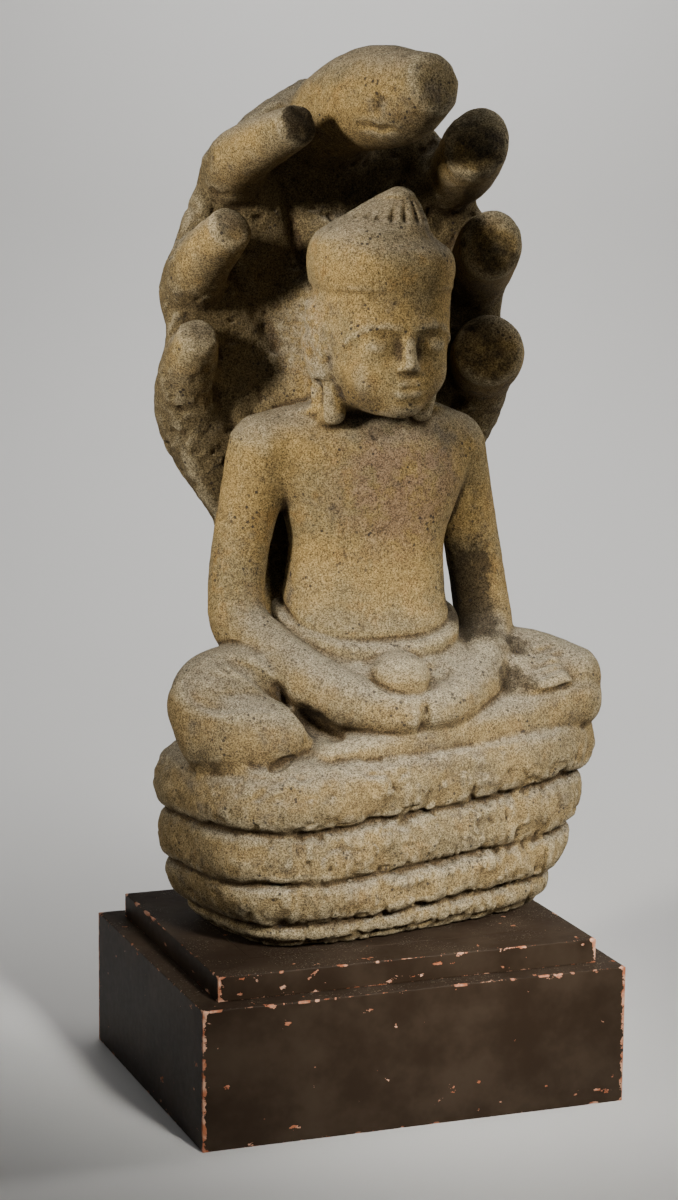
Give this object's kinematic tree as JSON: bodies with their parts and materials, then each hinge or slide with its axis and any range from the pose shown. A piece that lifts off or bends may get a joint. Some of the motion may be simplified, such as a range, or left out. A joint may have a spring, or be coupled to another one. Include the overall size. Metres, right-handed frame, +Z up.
{
  "type": "seated figure on serpent coils with plinth",
  "caption": "Carved sandstone seated figure on stacked serpent coils under a many-headed serpent hood, with a domed bowl in the lap, on a two-tier painted wooden plinth.",
  "frame": {"origin": "on the floor, at the middle of the whole part's plan", "axes": "+Z up, -Y towards the front of the plinth and the figure's face, +X to the figure's own left"},
  "size_m": [0.5012, 0.364, 1.0578],
  "materials": {
    "sandstone": "rough, pitted and granular, with brown recesses and dark specks",
    "painted_wood": "near-black brown paint, satin, chipped to orange-pink along the edges"
  },
  "bodies": {
    "root": {"figure_stone": "sandstone", "plinth_side_front": "painted_wood", "plinth_side_right": "painted_wood", "plinth_side_back": "painted_wood", "plinth_side_left": "painted_wood", "plinth_rail_front": "painted_wood", "plinth_rail_right": "painted_wood", "plinth_rail_back": "painted_wood", "plinth_rail_left": "painted_wood", "plinth_panel": "painted_wood"}
  },
  "joints": []
}
